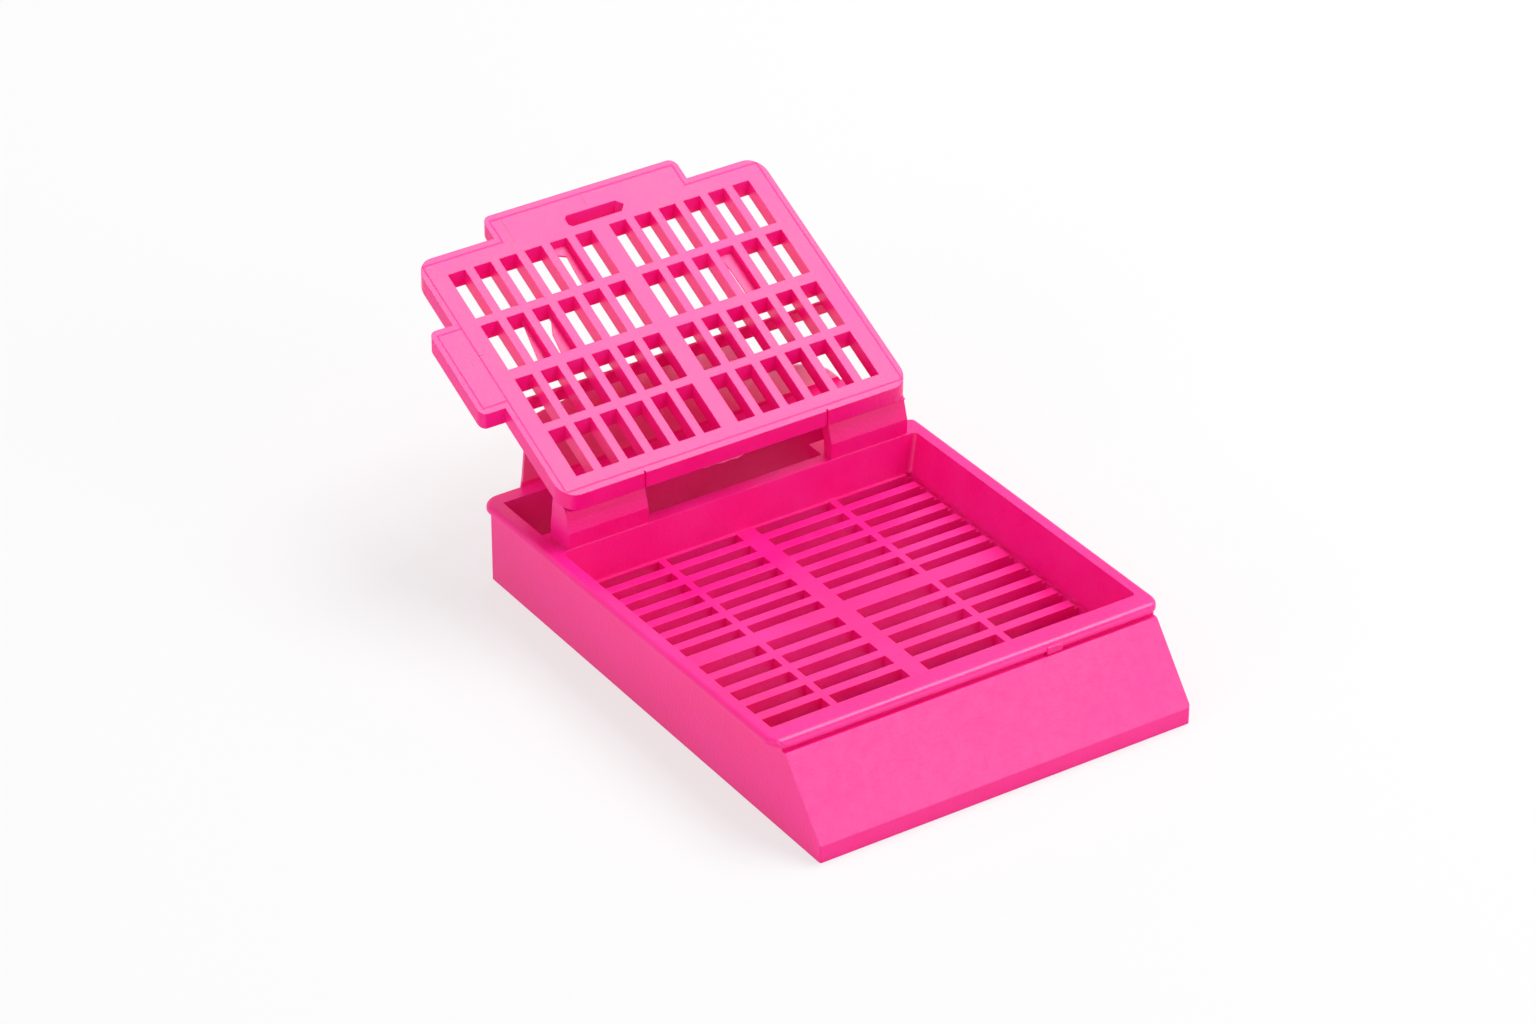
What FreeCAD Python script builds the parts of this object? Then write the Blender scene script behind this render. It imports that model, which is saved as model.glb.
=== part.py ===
import FreeCAD, Part
import math
import os
import Sketcher

# Slotted tissue cassette in millimetres, moulded in one piece: an open tray with a
# slanted writing face, and a slotted lid standing open on two hinge posts.
# Frame: origin at the middle of the tray's front bottom edge, X right, Y to the rear, Z up.
# The tray is drawn in that frame, the lid about its own reference line and then placed.

doc = FreeCAD.newDocument("TissueCassette")
sheet = doc.addObject("Spreadsheet::Sheet", "Dims")


class Size:
    """A number together with the sheet expression that drives it."""

    def __init__(self, value, text):
        self.value = float(value)
        self.text = text

    def __add__(self, other):
        other = as_size(other)
        return Size(self.value + other.value, "(%s + %s)" % (self.text, other.text))

    def __sub__(self, other):
        other = as_size(other)
        return Size(self.value - other.value, "(%s - %s)" % (self.text, other.text))

    def __mul__(self, other):
        other = as_size(other)
        return Size(self.value * other.value, "(%s * %s)" % (self.text, other.text))

    def __truediv__(self, other):
        other = as_size(other)
        return Size(self.value / other.value, "(%s / %s)" % (self.text, other.text))

    def __neg__(self):
        return Size(-self.value, "(0 - %s)" % self.text)


def as_size(item):
    if isinstance(item, Size):
        return item
    return Size(item, "%r" % float(item))


row_count = [0]


def dim(alias, value, note):
    row_count[0] += 1
    row = row_count[0]
    sheet.set("A%d" % row, note)
    sheet.set("B%d" % row, "%r" % value)
    sheet.setAlias("B%d" % row, alias)
    return Size(value, "Dims.%s" % alias)


# ---- tray ---------------------------------------------------------------------------
base_len = dim("base_len", 39.06, "tray, front to rear, at the bottom")
base_wid = dim("base_wid", 28.48, "tray, side to side, at the bottom")
wall_lean = dim("wall_lean", 0.3, "how far the side walls lean out, degrees")
wall_draw = dim("wall_draw", 6.7, "height to which the outer walls are drawn")
foot_round = dim("foot_round", 0.15, "upright corners of the outer walls at the rear")
brow_round = dim("brow_round", 0.15, "upright corners of the outer walls at the front")
lip_high = dim("lip_high", 1.26, "upright lip under the writing face")
face_run = dim("face_run", 3.92, "writing face, front to rear")
face_top = dim("face_top", 5.95, "top of the writing face")
groove_deep = dim("groove_deep", 0.38, "groove between the writing face and the rim bead")
rim_zero = dim("rim_zero", 6.766, "rim height carried forward to the front edge")
rim_tilt = dim("rim_tilt", 0.745, "fall of the rim towards the rear, degrees")
rim_deep = dim("rim_deep", 0.46, "height of the rim bead")
rim_seat = dim("rim_seat", 0.25, "how far the walls stop below the top of the bead")
rim_over = dim("rim_over", 0.69, "rim bead beyond the side walls")
rim_set = dim("rim_set", 0.16, "rim bead behind the top of the writing face")
rim_rear = dim("rim_rear", 0.3, "rim bead beyond the rear wall")
rim_corner = dim("rim_corner", 1.3, "rim bead corners seen from above")
rim_edge = dim("rim_edge", 0.32, "rounding of the bead's outer top edge")
rim_brow = dim("rim_brow", 0.6, "larger rounding along the front of the bead")
bay_rear = dim("bay_rear", 30.6, "rear of the sample bay at the rim")
bay_wall = dim("bay_wall", 1.06, "side walls of the sample bay at the floor, with their skirt")
bay_set = dim("bay_set", 2.35, "front of the bay's floor, behind the front of the rim bead")
bay_toe = dim("bay_toe", 0.54, "rear of the bay's floor, in front of its top edge")
bay_side_lean = dim("bay_side_lean", 15.5, "lean of the bay's side walls, degrees")
bay_end_lean = dim("bay_end_lean", 10.9, "lean of the bay's end walls, degrees")
bay_corner = dim("bay_corner", 0.3, "rounded corners of the sample bay")
floor_top = dim("floor_top", 3.72, "top of the slotted floor")
floor_low = dim("floor_low", 2.72, "underside of the slotted floor")
loft_top = dim("loft_top", 7.3, "height to which the bays are drawn")
cross_thick = dim("cross_thick", 0.95, "thickness of the cross wall at its top")
rear_wall = dim("rear_wall", 1.0, "rear wall at the rim")
rear_side_wall = dim("rear_side_wall", 1.04, "side walls of the rear compartment at the foot")
rear_lean = dim("rear_lean", 5.9, "lean of the rear compartment's side walls, degrees")
skirt_wall = dim("skirt_wall", 1.09, "side walls of the hollow underside")
skirt_front = dim("skirt_front", 1.15, "thickness of the front lip")
skirt_rise = dim("skirt_rise", 1.0, "height at which the hollow starts to slant")
skirt_peak_set = dim("skirt_peak_set", 0.43, "front of the hollow's ridge, behind the writing face")
skirt_peak_wid = dim("skirt_peak_wid", 0.75, "width of the hollow's ridge")
skirt_peak_h = dim("skirt_peak_h", 4.8, "height of the hollow's ridge")
skirt_back_set = dim("skirt_back_set", 0.93, "thickness of the bay's front wall at its foot")

# ---- floor grid -----------------------------------------------------------------------
grid_spine = dim("grid_spine", 1.4, "width of the long spine of the grid")
grid_shift = dim("grid_shift", -0.2, "middle of the spine, a little left of the tray's middle")
grid_rib_share = dim("grid_rib_share", 0.513, "place of the thin long ribs, share of the half width")
grid_rib = dim("grid_rib", 0.53, "width of the thin long ribs")
grid_ledge = dim("grid_ledge", 0.08, "ledge between the slots' outer ends and the side walls")
gutter_wid = dim("gutter_wid", 0.43, "shallow gutter along each side of the grid")
gutter_deep = dim("gutter_deep", 0.3, "depth of the gutters")
slot_rear_start = dim("slot_rear_start", 0.5633, "first slot behind the wide bar, share of the floor")
slot_rear_step = dim("slot_rear_step", 0.06792, "slot pitch behind the wide bar, share of the floor")
slot_rear_open = dim("slot_rear_open", 0.561, "slot width behind the wide bar, share of the pitch")
slot_front_start = dim("slot_front_start", 0.0808, "foremost slot, share of the floor")
slot_front_step = dim("slot_front_step", 0.0766, "slot pitch before the wide bar, share of the floor")
slot_front_open = dim("slot_front_open", 0.591, "slot width before the wide bar, share of the pitch")

# ---- posts, shelves, side gap, web ------------------------------------------------------
post_side_set = dim("post_side_set", 0.94, "outer end of a hinge post, inside the side wall's face")
post_wid = dim("post_wid", 6.1, "hinge post, side to side")
post_set = dim("post_set", 0.08, "front face of a post behind the bay's top edge")
post_knee = dim("post_knee", 7.5, "height at which the front face leans back")
post_lean = dim("post_lean", 0.52, "how far the head is set back from the front face")
post_head_top = dim("post_head_top", 9.1, "height of the post's head at the front")
post_head_deep = dim("post_head_deep", 1.4, "depth of the post's head")
post_head_rise = dim("post_head_rise", 0.65, "rise of the post's head to its rear edge")
post_deep = dim("post_deep", 2.32, "depth of the post's foot")
post_heel_drop = dim("post_heel_drop", 2.1, "height of the leaning rear face under the head's front")
post_root = dim("post_root", 5.9, "where the post is rooted")
post_plate = dim("post_plate", 0.9, "thickness of a post's front plate")
post_cheek = dim("post_cheek", 1.2, "thickness of the cheek at a post's outer end")
shelf_low = dim("shelf_low", 5.0, "underside of the shelf behind a post")
shelf_top = dim("shelf_top", 6.15, "top of the shelf behind a post")
shelf_over = dim("shelf_over", 0.4, "shelf beyond the post's foot")
shelf_root = dim("shelf_root", 0.7, "where the shelf joins the cross wall, behind the bay")
shelf_in_wall = dim("shelf_in_wall", 0.24, "how far the shelf runs into the side wall")
gap_in = dim("gap_in", 1.04, "inner end of the gap, from the outside of the side wall")
gap_set = dim("gap_set", 1.6, "front of the gap in the right wall, behind the bay")
gap_long = dim("gap_long", 1.5, "gap in the right wall, front to rear")
gap_low = dim("gap_low", 3.0, "bottom of the gap in the right wall")
gap_round = dim("gap_round", 0.8, "rounded tray corner at the gap")
web_over = dim("web_over", 0.24, "outer face of the web beyond the rear wall")
web_thick = dim("web_thick", 0.2, "thickness of the web")
rail_left_share = dim("rail_left_share", -0.8287, "left end of the web's rail, share of the half width")
rail_right_share = dim("rail_right_share", 0.9129, "right end of the rail, share of the half width")
rail_under = dim("rail_under", 0.17, "top of the rail below the lid's underside")
rail_high = dim("rail_high", 0.85, "height of the rail")
rail_deep = dim("rail_deep", 0.4, "depth of the rail")
rail_round = dim("rail_round", 0.12, "rounded upper edges of the rail")
web_foot = dim("web_foot", 5.8, "where the web is rooted in the rear wall")
web_line = (
    ("web_a", -0.8322, 0.0), ("web_b", -0.8188, 0.158), ("web_c", -0.8076, 0.417),
    ("web_d", -0.7865, 0.647), ("web_e", -0.7303, 0.806), ("web_f", -0.6531, 0.837),
    ("web_g", -0.5829, 0.852), ("web_h", -0.5618, 0.935), ("web_i", 0.3862, 0.935),
    ("web_j", 0.4354, 0.734), ("web_k", 0.5337, 0.475), ("web_l", 0.5899, 0.432),
    ("web_m", 0.6882, 0.41), ("web_n", 0.8006, 0.345), ("web_o", 0.8848, 0.237),
    ("web_p", 0.941, 0.115), ("web_q", 0.9796, 0.0),
)

# ---- lid --------------------------------------------------------------------------------
hinge_over = dim("hinge_over", 0.084, "hinge line behind the front face of the posts")
hinge_drop = dim("hinge_drop", 0.052, "hinge line below the front of the posts' heads")
lid_tilt = dim("lid_tilt", 24.956, "slope of the lid, degrees")
lid_slope = Size(math.tan(math.radians(lid_tilt.value)), "tan(Dims.lid_tilt * 1 deg)")
lid_inset = dim("lid_inset", 0.64, "sides of the lid inside the side walls' faces")
lid_near = dim("lid_near", -9.202, "near edge of the lid")
lid_far = dim("lid_far", 9.405, "far edge of the lid")
lid_thick = dim("lid_thick", 1.15, "thickness of the lid, straight down")
lid_corner = dim("lid_corner", 1.3, "corners of the lid")
tab_left_share = dim("tab_left_share", -0.5441, "left end of the finger tab, share of the lid's half width")
tab_right_share = dim("tab_right_share", 0.5772, "right end of the finger tab, share of the half width")
tab_reach = dim("tab_reach", 1.655, "finger tab beyond the lid's far edge")
tab_thick = dim("tab_thick", 1.0, "thickness of the finger tab")
tab_corner = dim("tab_corner", 0.6, "corners of the finger tab")
side_over = dim("side_over", 1.85, "press tab beyond the lid's edge")
side_near = dim("side_near", -2.05, "near end of the press tab")
side_far = dim("side_far", 4.49, "far end of the press tab")
side_thick = dim("side_thick", 1.1, "thickness of the press tab")
side_corner = dim("side_corner", 0.5, "corners of the press tab")
cell_step = dim("cell_step", 0.14515, "slot pitch of the lid, share of its half width")
cell_start = dim("cell_start", 0.0981, "slot next to the middle, share of the half width")
cell_open = dim("cell_open", 0.6738, "slot width, share of the pitch")
cell_reach = dim("cell_reach", 0.18756, "slot, front to rear, share of the lid's length")
cell_share_a = dim("cell_share_a", 0.11383, "inner rows of slots, share of the lid's length")
cell_share_b = dim("cell_share_b", 0.33267, "outer rows of slots, share of the lid's length")
long_left = dim("long_left", -1.97, "left end of the long slot")
long_right = dim("long_right", 2.55, "pointed right end of the long slot")
long_set = dim("long_set", 0.405, "middle of the long slot inside the lid's far edge")
long_wid = dim("long_wid", 0.86, "width of the long slot")
nick_left = dim("nick_left", -7.38, "left nick in the near edge")
nick_right = dim("nick_right", 6.9, "right nick in the near edge")
nick_wid = dim("nick_wid", 0.16, "width of a nick")
nick_deep = dim("nick_deep", 0.14, "depth of a nick")

half = as_size(0.5)
zero = as_size(0.0)
one = as_size(1.0)
over = as_size(2.0)
X_AXIS = FreeCAD.Vector(1, 0, 0)
NEAR = 0.05     # how close an edge or a face is to the place it is looked for
STEEP = 0.98    # share of its length by which an upright edge rises
FACING = 0.9    # share by which a face points along an axis

# places that follow from the sizes above
half_wid = base_wid * half
rim_fall = Size(math.tan(math.radians(rim_tilt.value)), "tan(Dims.rim_tilt * 1 deg)")
rim_half = half_wid + rim_over
rim_front = face_run + rim_set
bay_foot_half = half_wid - bay_wall
bay_foot_front = rim_front + bay_set
bay_foot_rear = bay_rear - bay_toe
floor_long = bay_foot_rear - bay_foot_front
rear_foot_half = half_wid - rear_side_wall
skirt_half = half_wid - skirt_wall
skirt_peak_a = face_run + skirt_peak_set
skirt_peak_b = skirt_peak_a + skirt_peak_wid
skirt_back = bay_foot_front - skirt_back_set
grid_end = bay_foot_half - grid_ledge
grid_rib_at = bay_foot_half * grid_rib_share
slot_rear_first = bay_foot_front + floor_long * slot_rear_start
slot_rear_pitch = floor_long * slot_rear_step
slot_rear_wid = slot_rear_pitch * slot_rear_open
slot_front_first = bay_foot_front + floor_long * slot_front_start
slot_front_pitch = floor_long * slot_front_step
slot_front_wid = slot_front_pitch * slot_front_open
post_out = half_wid - post_side_set
post_in = post_out - post_wid
post_front = bay_rear + post_set
post_head = post_front + post_lean
post_back = post_head + post_head_deep
post_heel = post_front + post_deep
shelf_front = bay_rear + shelf_root
shelf_out = half_wid - shelf_in_wall
gap_front = bay_rear + gap_set
gap_rear = gap_front + gap_long
gap_edge = half_wid - gap_in
hinge_at = post_front + hinge_over
hinge_high = post_head_top - hinge_drop
lid_at = hinge_at - lid_near
lid_high = hinge_high + lid_thick - lid_near * lid_slope
lid_half = half_wid - lid_inset
side_out = -lid_half - side_over
tab_end = lid_far + tab_reach
tab_left = lid_half * tab_left_share
tab_right = lid_half * tab_right_share
lid_long = lid_far - lid_near
long_mid = lid_far - long_set
cell_pitch = lid_half * cell_step
cell_first = lid_half * cell_start
cell_wid = cell_pitch * cell_open
cell_len = lid_long * cell_reach
cell_row_a = lid_long * cell_share_a
cell_row_b = lid_long * cell_share_b
web_out = base_len + web_over
web_in = web_out - web_thick
rail_left = half_wid * rail_left_share
rail_right = half_wid * rail_right_share
rail_top = lid_high + (web_in - lid_at) * lid_slope - lid_thick - rail_under
web_points = []
for web_name, web_x, web_share in web_line:
    web_side = dim(web_name + "_side", web_x, "outline of the web, share of the half width")
    web_rise = dim(web_name + "_rise", web_share, "outline of the web, share of the way up to the rail's top")
    web_points.append((half_wid * web_side, web_foot + (rail_top - web_foot) * web_rise))
doc.recompute()


def rim_at(y):
    """Height of the rim's top at a distance from the tray's front edge."""
    return rim_zero - y * rim_fall


# ---- helpers ----------------------------------------------------------------------------
def plane_of(body, role):
    for item in body.Origin.OriginFeatures:
        if item.Role == role:
            return item
    raise ValueError(role)


def sketch_on(body, role, name, shift=None, tilt=None):
    """A sketch on one of the body's origin planes, moved along its normal and tilted."""
    sketch = body.newObject("Sketcher::SketchObject", name)
    sketch.AttachmentSupport = [(plane_of(body, role), "")]
    sketch.MapMode = "FlatFace"
    turn = FreeCAD.Rotation(X_AXIS, tilt.value if tilt else 0.0)
    rise = FreeCAD.Vector(0, 0, shift.value if shift else 0.0)
    sketch.AttachmentOffset = FreeCAD.Placement(rise, turn)
    if shift:
        sketch.setExpression(".AttachmentOffset.Base.z", shift.text)
    if tilt:
        sketch.setExpression(".AttachmentOffset.Rotation.Angle", tilt.text)
    return sketch


def pin(sketch, geo, pos, point):
    """Hold one vertex at a pair of driven coordinates."""
    for kind, axis_id, size in (("DistanceX", -2, point[0]), ("DistanceY", -1, point[1])):
        if abs(size.value) < 1e-9:
            sketch.addConstraint(Sketcher.Constraint("PointOnObject", geo, pos, axis_id))
        else:
            rule = Sketcher.Constraint(kind, -1, 1, geo, pos, size.value)
            index = sketch.addConstraint(rule)
            sketch.setExpression("Constraints[%d]" % index, size.text)


def polygon(sketch, points):
    """A closed outline whose corners are all driven."""
    first = sketch.GeometryCount
    count = len(points)
    flat = [FreeCAD.Vector(p[0].value, p[1].value, 0) for p in points]
    for i in range(count):
        sketch.addGeometry(Part.LineSegment(flat[i], flat[(i + 1) % count]), False)
    for i in range(count):
        follow = first + (i + 1) % count
        sketch.addConstraint(Sketcher.Constraint("Coincident", first + i, 2, follow, 1))
    for i in range(count):
        pin(sketch, first + i, 1, points[i])


def arc_points(mid_a, mid_b, radius, start, end, steps):
    """Points along an arc, from one angle to another in degrees."""
    points = []
    for step in range(steps + 1):
        swing = math.radians(start + (end - start) * step / steps)
        points.append((mid_a + radius * as_size(math.cos(swing)), mid_b + radius * as_size(math.sin(swing))))
    return points


def rectangle(sketch, left, right, low, high):
    """A closed rectangle held at two opposite corners."""
    first = sketch.GeometryCount
    corners = ((left, low), (right, low), (right, high), (left, high))
    flat = [FreeCAD.Vector(c[0].value, c[1].value, 0) for c in corners]
    for i in range(4):
        sketch.addGeometry(Part.LineSegment(flat[i], flat[(i + 1) % 4]), False)
    for i in range(4):
        follow = first + (i + 1) % 4
        sketch.addConstraint(Sketcher.Constraint("Coincident", first + i, 2, follow, 1))
    for side in (0, 2):
        sketch.addConstraint(Sketcher.Constraint("Horizontal", first + side))
        sketch.addConstraint(Sketcher.Constraint("Vertical", first + side + 1))
    pin(sketch, first, 1, corners[0])
    pin(sketch, first + 2, 1, corners[2])


def drive(item, name, size):
    setattr(item, name, size.value)
    item.setExpression(name, size.text)


def pad(body, sketch, name, length, both=False, back=False):
    feature = body.newObject("PartDesign::Pad", name)
    feature.Profile = sketch
    drive(feature, "Length", length)
    if both:
        feature.SideType = "Symmetric"
    feature.Reversed = back
    doc.recompute()
    return feature


def pocket(body, sketch, name, depth=None, both=False, back=False):
    feature = body.newObject("PartDesign::Pocket", name)
    feature.Profile = sketch
    if both:
        feature.SideType = "Symmetric"
    if depth is None:
        feature.Type = "ThroughAll"
    else:
        drive(feature, "Length", depth)
    feature.Reversed = back
    doc.recompute()
    return feature


def row_of(body, name, feature, sketch, axis, count, pitch):
    pattern = body.newObject("PartDesign::LinearPattern", name)
    pattern.Originals = [feature]
    pattern.Direction = (sketch, [axis])
    pattern.Occurrences = count
    drive(pattern, "Length", pitch * as_size(count - 1))
    body.Tip = pattern
    doc.recompute()
    return pattern


def edges_where(feature, test):
    names = []
    for number, edge in enumerate(feature.Shape.Edges, 1):
        if test(edge):
            names.append("Edge%d" % number)
    return names


def faces_where(feature, test):
    names = []
    for number, face in enumerate(feature.Shape.Faces, 1):
        if test(face):
            names.append("Face%d" % number)
    return names


def fillet(body, name, feature, test, radius):
    names = edges_where(feature, test)
    if not names:
        raise ValueError("no edge for " + name)
    rounding = body.newObject("PartDesign::Fillet", name)
    rounding.Base = (feature, names)
    drive(rounding, "Radius", radius)
    body.Tip = rounding
    doc.recompute()
    return rounding


def draft(body, name, feature, test, level, angle, outward):
    """Lean the chosen faces about the horizontal plane at the given level."""
    neutral = plane_of(body, "XY_Plane")
    if level.value:
        neutral = body.newObject("PartDesign::Plane", name + "Level")
        neutral.AttachmentSupport = [(plane_of(body, "XY_Plane"), "")]
        neutral.MapMode = "FlatFace"
        neutral.AttachmentOffset = FreeCAD.Placement(FreeCAD.Vector(0, 0, level.value), FreeCAD.Rotation())
        neutral.setExpression(".AttachmentOffset.Base.z", level.text)
    leaning = body.newObject("PartDesign::Draft", name)
    leaning.Base = (feature, faces_where(feature, test))
    leaning.NeutralPlane = (neutral, [""])
    leaning.Reversed = outward
    drive(leaning, "Angle", angle)
    body.Tip = leaning
    doc.recompute()
    return leaning


def upright(edge):
    """True for an edge that runs straight up and down, apart from a wall's lean."""
    a = edge.Vertexes[0].Point
    b = edge.Vertexes[-1].Point
    reach = (b - a).Length
    return reach > NEAR and abs(b.z - a.z) > STEEP * reach


def new_body(name):
    body = doc.addObject("PartDesign::Body", name)
    body.Label = name
    return body


# ---- the tray ---------------------------------------------------------------------------
base = new_body("cassette_base")
base.Placement = FreeCAD.Placement()

# outer walls, leaning out a little, with rounded upright corners at the rear
foot_plan = sketch_on(base, "XY_Plane", "FootPlan")
rectangle(foot_plan, -base_wid * half, base_wid * half, zero, base_len)
block = pad(base, foot_plan, "Block", wall_draw)


def side_wall(face):
    return abs(face.normalAt(0, 0).x) > FACING


lean = draft(base, "Lean", block, side_wall, zero, wall_lean, True)


def at_rear(edge):
    return upright(edge) and edge.CenterOfMass.y > base_len.value * half.value


def at_front(edge):
    return upright(edge) and edge.CenterOfMass.y < base_len.value * half.value


block = fillet(base, "RearCorners", lean, at_rear, foot_round)
block = fillet(base, "FrontCorners", block, at_front, brow_round)

# the slanted writing face above its upright lip, a groove under the bead, and the top
# of the walls, which falls with the rim
face_side = sketch_on(base, "YZ_Plane", "FaceSide")
groove_back = face_run + groove_deep
behind = base_len + over
polygon(face_side, ((-over, lip_high), (zero, lip_high), (face_run, face_top), (groove_back, face_top),
                    (groove_back, rim_at(groove_back) - rim_seat), (behind, rim_at(behind) - rim_seat),
                    (behind, loft_top), (-over, loft_top)))
face = pocket(base, face_side, "Face", base_wid * over, both=True)

# the rim bead: a plate over the walls, falling a little towards the rear
bead_plan = sketch_on(base, "XY_Plane", "BeadPlan", rim_zero, -rim_tilt)
rectangle(bead_plan, -rim_half, rim_half, rim_front, base_len + rim_rear)
bead = pad(base, bead_plan, "Bead", rim_deep, back=True)


def bead_corner(edge):
    return upright(edge) and abs(edge.CenterOfMass.x) > rim_half.value - NEAR


bead_round = fillet(base, "BeadCorners", bead, bead_corner, rim_corner)


def bead_edge(edge):
    return all(abs(v.Point.z - rim_zero.value + rim_fall.value * v.Point.y) < NEAR for v in edge.Vertexes)


fillet(base, "BeadEdge", bead_round, bead_edge, rim_edge)

# the larger rounding along the front of the bead
BROW_STEPS = 6
brow_side = sketch_on(base, "YZ_Plane", "BrowSide")
brow_mid = rim_front + rim_brow
brow_top = rim_at(brow_mid)
brow_line = arc_points(brow_mid, brow_top - rim_brow, rim_brow, 90.0, 180.0, BROW_STEPS)
polygon(brow_side, brow_line + [(rim_front - one, brow_top - rim_brow), (rim_front - one, brow_top + one),
                                (brow_mid, brow_top + one)])
pocket(base, brow_side, "Brow", base_wid * over, both=True)

# the sample bay, tapering down to the floor
bay_plan = sketch_on(base, "XY_Plane", "BayPlan", loft_top)
rectangle(bay_plan, -bay_foot_half, bay_foot_half, bay_foot_front, bay_foot_rear)
bay = pocket(base, bay_plan, "Bay", loft_top - floor_top)


def bay_face(axis):
    def test(face):
        mid = face.CenterOfMass
        way = face.normalAt(0, 0)
        inside = (abs(mid.x) < bay_foot_half.value + NEAR and
                  bay_foot_front.value - NEAR < mid.y < bay_foot_rear.value + NEAR)
        return inside and mid.z > floor_top.value + NEAR and abs(getattr(way, axis)) > FACING
    return test


bay_side = draft(base, "BaySides", bay, bay_face("x"), floor_top, bay_side_lean, False)
bay_end = draft(base, "BayEnds", bay_side, bay_face("y"), floor_top, bay_end_lean, False)


def bay_corner_edge(edge):
    mid = edge.CenterOfMass
    inside = abs(mid.x) < rim_half.value - one.value and rim_front.value < mid.y < bay_rear.value
    ends = [v.Point for v in edge.Vertexes]
    return inside and abs(ends[0].z - ends[-1].z) > one.value


fillet(base, "BayCorners", bay_end, bay_corner_edge, bay_corner)

# the rear compartment, open at the bottom
rear_plan = sketch_on(base, "XY_Plane", "RearPlan", loft_top)
rectangle(rear_plan, -rear_foot_half, rear_foot_half, bay_rear + cross_thick, base_len - rear_wall)
rear = pocket(base, rear_plan, "RearBay")


def rear_side(face):
    mid = face.CenterOfMass
    return (abs(abs(mid.x) - rear_foot_half.value) < NEAR and mid.y > bay_rear.value and
            abs(face.normalAt(0, 0).x) > FACING)


draft(base, "RearSides", rear, rear_side, zero, rear_lean, False)

# the hollow underside: under the floor and up behind the writing face
skirt_side = sketch_on(base, "YZ_Plane", "SkirtSide")
polygon(skirt_side, ((skirt_front, -one), (skirt_front, skirt_rise), (skirt_peak_a, skirt_peak_h),
                     (skirt_peak_b, skirt_peak_h), (skirt_back, floor_low), (bay_rear, floor_low),
                     (bay_rear, -one)))
pocket(base, skirt_side, "Skirt", skirt_half * over, both=True)

# the floor grid: four slots across, one row repeated in front of and behind the wide bar
columns = ((-grid_end, -grid_rib_at - grid_rib * half),
           (-grid_rib_at + grid_rib * half, grid_shift - grid_spine * half),
           (grid_shift + grid_spine * half, grid_rib_at - grid_rib * half),
           (grid_rib_at + grid_rib * half, grid_end))
REAR_ROWS = 7
FRONT_ROWS = 6
for label, first_mid, width, pitch, rows in (
        ("Rear", slot_rear_first, slot_rear_wid, slot_rear_pitch, REAR_ROWS),
        ("Front", slot_front_first, slot_front_wid, slot_front_pitch, FRONT_ROWS)):
    slot_plan = sketch_on(base, "XY_Plane", label + "SlotPlan", floor_top)
    for left, right in columns:
        rectangle(slot_plan, left, right, first_mid - width * half, first_mid + width * half)
    slots = pocket(base, slot_plan, label + "Slots", floor_top - floor_low + one * half)
    row_of(base, label + "Rows", slots, slot_plan, "V_Axis", rows, pitch)

# a shallow gutter along each side of the grid, which leaves the bars' ends standing free
gutter_plan = sketch_on(base, "XY_Plane", "GutterPlan", floor_top)
gutter_front = slot_front_first - slot_front_wid * half
gutter_in = bay_foot_half - gutter_wid
for near_x, far_x in ((-bay_foot_half, -gutter_in), (gutter_in, bay_foot_half)):
    rectangle(gutter_plan, near_x, far_x, gutter_front, bay_foot_rear)
pocket(base, gutter_plan, "Gutters", gutter_deep)

# shelves behind the cross wall that carry the posts
for label, near_x, far_x in (("Left", -shelf_out, -post_in), ("Right", post_in, shelf_out)):
    shelf_plan = sketch_on(base, "XY_Plane", label + "ShelfPlan", shelf_low)
    rectangle(shelf_plan, near_x, far_x, shelf_front, post_heel + shelf_over)
    pad(base, shelf_plan, label + "Shelf", shelf_top - shelf_low)

# the gap in the right wall, just behind the tray's own rounded corner
GAP_STEPS = 5
gap_plan = sketch_on(base, "XY_Plane", "GapPlan", loft_top)
gap_arc = arc_points(rim_half - gap_round, gap_front - gap_round, gap_round, 90.0, 0.0, GAP_STEPS)
polygon(gap_plan, [(gap_edge, gap_rear), (gap_edge, gap_front)] + gap_arc +
        [(rim_half + one, gap_front - gap_round), (rim_half + one, gap_rear)])
pocket(base, gap_plan, "Gap", loft_top - gap_low)

# the hinge posts: upright in front, then leaning back to a narrow head; behind the front
# plate each is hollow but for a cheek at its outer end
post_side = sketch_on(base, "YZ_Plane", "PostSide", post_in)
polygon(post_side, ((post_front, post_root), (post_front, post_knee), (post_head, post_head_top),
                    (post_back, post_head_top + post_head_rise),
                    (post_heel, post_head_top - post_heel_drop), (post_heel, post_root)))
post = pad(base, post_side, "PostRight", post_out - post_in)
hollow_side = sketch_on(base, "YZ_Plane", "HollowSide", post_in)
behind_post = post_heel + one
polygon(hollow_side, ((post_front + post_plate, shelf_top), (post_front + post_plate, post_knee),
                      (post_head + post_plate, post_head_top), (post_head + post_plate, post_head_top + one),
                      (behind_post, post_head_top + one), (behind_post, shelf_top)))
hollow = pocket(base, hollow_side, "PostHollow", post_wid - post_cheek, back=True)
twin = base.newObject("PartDesign::Mirrored", "PostLeft")
twin.Originals = [post, hollow]
twin.MirrorPlane = (plane_of(base, "YZ_Plane"), [""])
base.Tip = twin
doc.recompute()

# the thin upright web on the rear rim, with the thicker rail along its top
web_face = sketch_on(base, "XZ_Plane", "WebFace", -web_out)
polygon(web_face, web_points)
pad(base, web_face, "Web", web_thick)
rail_side = sketch_on(base, "YZ_Plane", "RailSide", rail_left)
rectangle(rail_side, web_in, web_in + rail_deep, rail_top - rail_high, rail_top)
rail = pad(base, rail_side, "Rail", rail_right - rail_left)


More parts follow.
